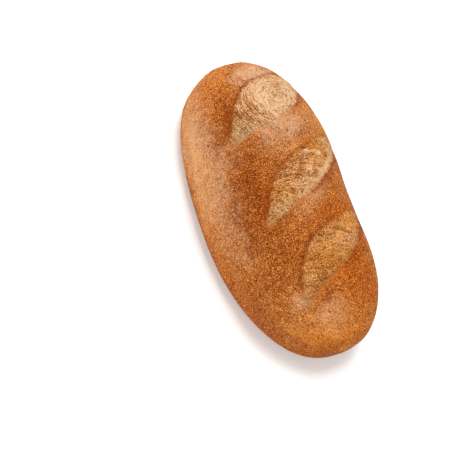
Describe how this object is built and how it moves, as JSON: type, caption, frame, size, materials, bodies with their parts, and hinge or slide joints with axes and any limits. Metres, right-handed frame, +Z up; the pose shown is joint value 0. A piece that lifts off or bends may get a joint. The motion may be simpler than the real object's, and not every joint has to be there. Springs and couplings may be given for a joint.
{
  "type": "mini baguette",
  "caption": "Short oval whole wheat baguette with a flat base and slanting cuts that opened across its top.",
  "frame": {"origin": "centre of the loaf's bounding box seen from above, at the level of its flat base", "axes": "+X along the loaf's length, +Y across it towards the side that the cuts run up to, +Z up from the base"},
  "size_m": [0.155, 0.0774, 0.0491],
  "materials": {
    "crust": "baked whole wheat crust, speckled with bran, dry and matt"
  },
  "bodies": {
    "root": {"loaf": "crust"}
  },
  "joints": []
}
